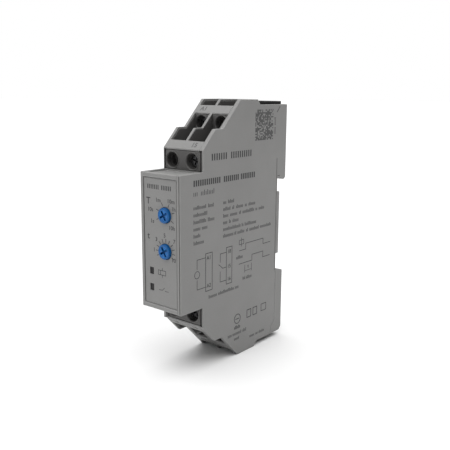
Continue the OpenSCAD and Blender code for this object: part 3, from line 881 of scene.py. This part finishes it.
def terminal_block(name, tier, outline):
    """Builds the upper block and its mirror image at the lower end."""
    face = BLOCK_FRONT + tier * TIER_DEPTH
    z = POLE_Z + tier * TIER_RISE
    solids = [
        lathed(round_rimmed(ACCESS_R + 0.5, face - 0.15, face + 1, 0.1), x, z) for x in POLES
    ]
    cuts = [part for x in POLES for part in pole_cutouts(x, face, z)]
    if tier == 0:
        wide = HALF_W - 0.45
        solids.append(brick((-wide, face, NOSE_Z + 0.1), (wide, face + 0.9, STRIP_Z - 0.75), 0.15))
        for x in (-HALF_W + 0.7, HALF_W - 1.3):
            cuts.append(brick((x, face - 1, NOSE_Z), (x + 0.5, face + 0.75, STRIP_Z), 0.05))
    body = slab(outline, LEFT_IN + 0.05, RIGHT_IN - 0.25, 0.12, 0.12, 0.15)
    block = cut(joined(body, *solids), *cuts)
    lower = block.copy()
    lower.data = block.data.copy()
    bpy.context.scene.collection.objects.link(lower)
    finish_piece(block, f"upper_{name}_moulding", [f"upper_{name}_block"])
    finish_piece(flipped(lower), f"lower_{name}_moulding", [f"lower_{name}_block"])


def terminal_screw(name, pole, tier, low):
    face = BLOCK_FRONT + tier * TIER_DEPTH
    x, z = POLES[pole], POLE_Z + tier * TIER_RISE
    head, seat = face + BORE_LEN, face + HEAD_SEAT - 0.02
    reach, half, deep = SCREW_CROSS
    profile = [(0.02, head + 0.05), (1.2, head + 0.02)] + round_rimmed(HEAD_R, head, seat, 0.35)
    depth = seat
    while depth + THREAD_PITCH < face + SCREW_END - 0.3:
        profile += [(SHANK_R - 0.2, depth + 0.02), (SHANK_R, depth + 0.2), (SHANK_R, depth + 0.3)]
        depth += THREAD_PITCH
    profile += [
        (SHANK_R - 0.2, depth + 0.02), (SHANK_R - 0.4, face + SCREW_END), (0.02, face + SCREW_END)
    ]
    arms = [
        turned(brick((x - reach, head - 1, z - half), (x + reach, head + deep, z + half), 0.08),
               SCREW_CROSS_DEG + degrees, x, z)
        for degrees in (0, 90)
    ]
    screw = cut(lathed(profile, x, z, 48), joined(*arms))
    finish_piece(flipped(screw) if low else screw, f"{name}_turned", [name], look="screw")


# ---- Rail clip, spring and vents ----

CLIP_FRONT = SEAT_D + 0.15
CLIP_BACK = BODY_D - 0.4
STEM_TOP = -22.3
STEM_LOW = -29.5
SLOT_LOW = -37.5
SPRING_R = 1.3
WIRE_R = 0.22
SPRING_TURNS = 6
SPRING_PLAY = 0.05
VENT_SLOT = 0.9
VENT_PITCH = 1.9


def rail_clip():
    wide = HALF_W - 0.1
    plate = slab([
        (CLIP_FRONT, -RAIL_HALF), (CLIP_BACK, -RAIL_HALF - 1.4), (CLIP_BACK, -41.9),
        (CLIP_BACK - 1.3, -SHOULDER[1]), (RECESS[2][0] + 0.15, -SHOULDER[1]),
        (RECESS[1][0] + 0.15, RECESS[1][1] - 0.1), (CLIP_FRONT, RECESS[0][1] - 0.1),
    ], -wide, wide, 0.25, 0.25, 0.3)
    tongue = slab([
        (SEAT_D + 1.3, -RAIL_HALF - 1), (SEAT_D + 1.3, -RAIL_HALF + 1), (SEAT_D + 2.3, -RAIL_HALF + 1),
        (CLIP_BACK, -RAIL_HALF - 1), (CLIP_BACK, -RAIL_HALF - 2),
    ], POLES_MID - 4.5, POLES_MID + 4.5, 0.2, 0.2, 0.2)

    def centred(half, d_low, d_high, z_low, z_high, edge):
        return brick((POLES_MID - half, d_low, z_low), (POLES_MID + half, d_high, z_high), edge)

    stem = centred(2.4, SEAT_D - 2, CLIP_FRONT + 0.5, STEM_LOW, STEM_TOP, 0.15)
    guide = centred(4.2, SEAT_D - 2.8, SEAT_D - 1.55, STEM_LOW, STEM_TOP + 0.8, 0.15)
    relief = centred(1.9, CLIP_FRONT - 1, CLIP_FRONT + 1.2, SLOT_LOW - 0.5, STEM_LOW, 0.1)
    slot = centred(2.2, SEAT_D + 1.6, SEAT_D + 3.1, -44, -38.5, 0.2)
    finish_piece(cut(joined(plate, tongue, stem, guide), relief, slot), "clip_moulding", ["rail_clip"])


def clip_spring():
    low, high = SLOT_LOW + SPRING_PLAY + WIRE_R, STEM_LOW - SPRING_PLAY - WIRE_R
    steps, sides = SPRING_TURNS * 28, 12
    centre_d = SEAT_D - 0.7
    rings = []
    for i in range(steps + 1):
        turn = 2 * math.pi * SPRING_TURNS * i / steps
        rise = low + (high - low) * i / steps
        ring = []
        for k in range(sides):
            angle = 2 * math.pi * k / sides
            reach = SPRING_R + WIRE_R * math.cos(angle)
            ring.append((
                POLES_MID + reach * math.cos(turn), centre_d + reach * math.sin(turn),
                rise + WIRE_R * math.sin(angle),
            ))
        rings.append(ring)
    spring = finish_piece(
        stacked(rings), "clip_coil_spring", ["rail_clip_spring"], body=BODY_OF["housing_shell"])
    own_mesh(spring)


def vent_insert(name, back_d, low):
    front_d = SHOULDER[0] + 1.25
    bar = brick(
        (LEFT_IN + 0.1, front_d, SHOULDER[1] - 1.55), (RIGHT_IN - 0.15, back_d, SHOULDER[1] + 1.1), 0.25)
    slots = []
    depth = front_d + 1.6
    while depth <= back_d - 2.2:
        slots.append(brick((-5.2, depth, 30), (4.6, depth + VENT_SLOT, 50), 0.15))
        depth += VENT_PITCH
    grille = cut(bar, *slots)
    finish_piece(flipped(grille) if low else grille, f"{name}_grille", [name])


# ---- Printing ----

INK_THICK = 0.03
INK_SUNK = 0.01
CAP_HEIGHT = 0.7
MIXED = (0.72, 0.72, 0.72, 1.0)
EVEN = (0.85,)
RING_STEPS = 28


class Print:
    """Ink on one flat face, drawn in millimetres across (u) and up (v) from an origin on that face."""

    def __init__(self, origin, across, up):
        across, up = Vector(across).normalized(), Vector(up).normalized()
        out = across.cross(up)
        self.place = Matrix.Translation(origin) @ Matrix((across, up, out)).transposed().to_4x4()
        self.shape = bmesh.new()
        self.chance = random.Random(7)

    def plate(self, points):
        low, high = (
            [self.shape.verts.new(self.place @ Vector((u, v, level))) for u, v in points]
            for level in (-INK_SUNK, INK_THICK - INK_SUNK)
        )
        self.shape.faces.new(low[::-1])
        self.shape.faces.new(high)
        for i in range(len(points)):
            self.shape.faces.new((low[i - 1], low[i], high[i], high[i - 1]))

    def bar(self, u_low, v_low, u_high, v_high):
        self.plate([(u_low, v_low), (u_high, v_low), (u_high, v_high), (u_low, v_high)])

    def line(self, *points, width=0.2):
        for start, end in zip(points, points[1:]):
            along = (Vector(end) - Vector(start)).normalized() * width / 2
            side = Vector((-along.y, along.x))
            a, b = Vector(start) - along, Vector(end) + along
            self.plate([a - side, b - side, b + side, a + side])

    def frame(self, u_low, v_low, u_high, v_high, width=0.2):
        self.line(
            (u_low, v_low), (u_high, v_low), (u_high, v_high), (u_low, v_high), (u_low, v_low), width=width)

    def ring(self, u, v, radius, width=0.2):
        angles = [2 * math.pi * k / RING_STEPS for k in range(RING_STEPS + 1)]
        at = [(math.cos(a), math.sin(a)) for a in angles]
        for (c0, s0), (c1, s1) in zip(at, at[1:]):
            inner, outer = radius - width / 2, radius + width / 2
            self.plate([
                (u + inner * c0, v + inner * s0), (u + outer * c0, v + outer * s0),
                (u + outer * c1, v + outer * s1), (u + inner * c1, v + inner * s1),
            ])

    def words(self, u, v, height, lengths, weight=0.5, heights=MIXED):
        """An unreadable stand-in for a line of print: one comb of strokes to a word."""
        pitch = 0.45 * height
        for length in lengths:
            for k in range(max(2, round(length / pitch))):
                tall = height * self.chance.choice(heights)
                left = u + k * pitch
                self.bar(left, v, left + weight * pitch, v + tall)
            u += length + 0.55 * height

    def glyphs(self, text, u, v, height, weight=0.02):
        """Plain digits or a terminal number, centred on u, v."""
        curve = bpy.data.curves.new("glyphs", "FONT")
        curve.body = text
        curve.size = height / CAP_HEIGHT
        curve.align_x = curve.align_y = "CENTER"
        curve.offset = weight * height
        curve.extrude = INK_THICK / 2
        curve.resolution_u = 3
        holder = bpy.data.objects.new("glyphs", curve)
        mesh = bpy.data.meshes.new_from_object(holder)
        mesh.transform(self.place @ Matrix.Translation((u, v, INK_THICK / 2 - INK_SUNK)))
        self.shape.from_mesh(mesh)
        bpy.data.objects.remove(holder)

    def finish(self, name, ink="ink"):
        bmesh.ops.remove_doubles(self.shape, verts=self.shape.verts, dist=1e-6)
        finish_piece(
            new_object(self.shape), name, slot="component_black", body=BODY_OF["housing_shell"], look=ink)


TICK = (3.15, 4.1)
FIRST_DEG = 205
LAST_DEG = -30


def dial_print():
    sheet = Print((0, FOIL_D, 0), (1, 0, 0), (0, 0, 1))
    sheet.words(-5.7, 17.3, 1.7, (5.2, 4.6), 0.5, EVEN)
    sheet.glyphs("T", -5.4, 13.3, 2.1)
    sheet.glyphs("t", -5.5, 1.8, 2.1)
    for z, count in ((DIALS["range"], 6), (DIALS["time"], 11)):
        for k in range(count):
            angle = math.radians(FIRST_DEG + (LAST_DEG - FIRST_DEG) * k / (count - 1))
            u, v = math.cos(angle), math.sin(angle)
            sheet.line(*[(KNOB_X + r * u, z + r * v) for r in TICK], width=0.24)
    for text, u, v in (
        ("1s", -3.7, 6.9), ("10s", -4.5, 10.6), ("1m", -1.0, 13.9), ("10m", 4.6, 14.0), ("1h", 5.7, 11.7),
        ("10h", 4.9, 5.6), ("1", -3.0, -2.5), ("3", -2.0, 1.1), ("5", 1.7, 2.8), ("7", 5.9, 1.4),
        ("10", 5.6, -4.7),
    ):
        sheet.glyphs(text, u, v, 1.3)
    sheet.frame(-1.3, -10.4, 2.0, -8.9, 0.18)
    sheet.line((-0.3, -10.4), (-0.3, -8.9), width=0.18)
    sheet.line((0.5, -8.9), (0.5, -8.1), width=0.18)
    sheet.line((0.5, -11.2), (0.5, -10.4), width=0.18)
    sheet.line((-1.0, -15.5), (0.3, -15.5), (1.4, -14.6), width=0.18)
    sheet.line((1.7, -15.6), (3.1, -15.6), width=0.18)
    sheet.finish("dial_print")


ROW_TOP = 11.0
ROW_PITCH = 2.28
LEFT_ROWS = ((6.4, 2.8), (6.9,), (6.2, 3.2), (3.3, 2.6), (3.6,), (4.9,))
RIGHT_ROWS = (
    (1.8, 3.4), (4.1, 1.4, 4.2, 1.4, 3.8), (3.0, 4.2, 1.2, 6.8, 1.2, 3.6), (2.4, 1.2, 3.4),
    (9.4, 1.0, 6.6), (5.4, 1.0, 4.2, 1.2, 5.6, 7.0),
)


def wiring_print(sheet):
    sheet.frame(11.9, -17.0, 15.2, -4.2, 0.24)
    sheet.line((11.9, -5.5), (7.7, -5.5), (7.7, -8.6), width=0.22)
    sheet.line((7.7, -12.4), (7.7, -15.5), (11.9, -15.5), width=0.22)
    sheet.ring(7.7, -10.5, 1.2, 0.22)
    sheet.frame(22.6, -17.0, 25.6, -4.1, 0.24)
    sheet.line((22.6, -5.7), (19.35, -5.7), (19.35, -8.6), width=0.22)
    sheet.line((22.6, -10.9), (20.6, -10.9), (18.6, -9.3), width=0.22)
    sheet.line((19.35, -11.9), (19.35, -15.5), (22.6, -15.5), width=0.22)
    for text, u, v in (
        ("A1", 13.5, -5.8), ("A2", 13.5, -15.3),
        ("18", 24.1, -5.7), ("15", 24.1, -10.9), ("16", 24.1, -15.4),
    ):
        sheet.glyphs(text, u, v, 1.3)
    sheet.frame(29.6, -4.4, 32.1, -2.9, 0.2)
    sheet.line((30.85, -2.2), (30.85, -5.1), width=0.2)
    sheet.line(
        (29.8, -6.6), (33.3, -6.6), (33.3, -4.5), (43.6, -4.5), (43.6, -6.5), (48.0, -6.5), width=0.22)
    sheet.line(
        (29.6, -11.4), (37.0, -11.4), (37.0, -9.3), (43.6, -9.3), (43.6, -11.5), (47.8, -11.5), width=0.22)
    sheet.line((32.9, -12.4), (32.9, -15.0), width=0.2)
    sheet.line((36.8, -12.4), (36.8, -15.0), width=0.2)
    sheet.line((32.9, -14.5), (36.8, -14.5), width=0.16)
    sheet.glyphs("t", 34.85, -13.1, 1.3)
    sheet.words(28.0, -9.4, 1.2, (3.6,))
    sheet.words(31.8, -17.6, 1.2, (1.4, 3.4))
    sheet.words(13.5, -19.9, 1.2, (4.2, 8.4, 2.4))


def side_print():
    sheet = Print((HALF_W, 0, 0), (0, 1, 0), (0, 0, 1))
    sheet.words(14.8, 25.9, 2.6, (8.4, 11.6), 0.5, EVEN)
    sheet.words(6.1, 18.4, 2.3, (13.6, 7.8, 8.6), 0.62, EVEN)
    sheet.words(6.1, 15.3, 1.7, (2.6, 6.6), 0.35)
    for k, (left, right) in enumerate(zip(LEFT_ROWS, RIGHT_ROWS)):
        v = ROW_TOP - k * ROW_PITCH
        sheet.words(6.1, v, 1.25, left)
        sheet.words(20.8, v, 1.25, right)
    wiring_print(sheet)
    sheet.ring(29.0, -31.3, 1.7, 0.3)
    sheet.line((28.1, -31.3), (29.9, -31.3), width=0.3)
    sheet.frame(34.6, -32.4, 36.9, -29.6, 0.3)
    sheet.frame(38.2, -32.4, 40.5, -29.6, 0.3)
    sheet.frame(43.2, -32.2, 46.2, -29.6, 0.26)
    sheet.words(27.3, -35.0, 1.3, (3.8,), 0.6)
    sheet.words(23.8, -37.2, 1.25, (2.0, 5.0, 2.0))
    sheet.words(27.3, -39.1, 1.1, (3.2,))
    sheet.words(36.4, -40.6, 1.1, (3.0, 1.4, 3.4))
    sheet.line((50.7, 40.6), (52.3, 42.3), width=0.3)
    sheet.finish("side_print")
    turned_line = Print((HALF_W, 49.9, 32.9), (0, 0, 1), (0, -1, 0))
    turned_line.words(0, 0, 0.9, (2.6, 3.0), 0.5)
    turned_line.finish("margin_print")


PATCH = (37.8, 31.0)
PATCH_CELLS = 22
CELL = 0.48
DOT = 0.97 * CELL
DOT_CHANCE = 0.6


def dot_patch():
    """A patch of scattered dots that encodes nothing."""
    sheet = Print((HALF_W, *PATCH), (0, 1, 0), (0, 0, 1))
    for row in range(PATCH_CELLS):
        for column in range(PATCH_CELLS):
            if sheet.chance.random() < DOT_CHANCE:
                u, v = column * CELL, row * CELL
                sheet.bar(u, v, u + DOT, v + DOT)
    sheet.finish("dot_patch", "faint_ink")


def strip_print():
    """Terminal numbers on the sloping strips, read from the front at both ends."""
    middle = math.hypot(STRIP_RUN, STRIP_RUN * SLOPE_1) / 2
    rear_z = slope_2(REAR_FACE_D)
    for name, d, z, end, marks in (
        ("upper_front_numbers", FACE_D, STRIP_Z, 1, (("15", POLES[1]),)),
        ("upper_rear_numbers", REAR_FACE_D, rear_z, 1, (("A1", POLES[0]),)),
        ("lower_front_numbers", FACE_D, STRIP_Z, -1, (("18", POLES[0]), ("16", POLES[1]))),
        ("lower_rear_numbers", REAR_FACE_D, rear_z, -1, (("A2", POLES[0]),)),
    ):
        sheet = Print((0, d, end * z), (1, 0, 0), (0, end, SLOPE_1))
        for text, x in marks:
            sheet.glyphs(text, x, end * middle, 1.75)
        sheet.finish(name, "faint_ink")


# ---- Build ----

make_camera()
make_studio()
make_floor()
side_cover()
housing_shell()
front_panel()
for dial, height in DIALS.items():
    setting_knob(dial, height)
for window, height in WINDOWS.items():
    light_window(window, height)
terminal_block("front", 0, FRONT_BLOCK)
terminal_block("rear", 1, REAR_BLOCK)
for screw, pole, tier, low in (
    ("screw_a1", 0, 1, False), ("screw_15", 1, 0, False),
    ("screw_a2", 0, 1, True), ("screw_16", 1, 0, True), ("screw_18", 0, 0, True),
):
    terminal_screw(screw, pole, tier, low)
rail_clip()
clip_spring()
vent_insert("upper_vent_insert", BODY_D - 1.5, False)
vent_insert("lower_vent_insert", RECESS[1][0] - 1.5, True)
dial_print()
side_print()
dot_patch()
strip_print()

for node, part in frame["nodes"].items():
    if not part.hide_render:
        part.data.materials.clear()
        part.data.materials.append(material(SLOT_OF[node]))
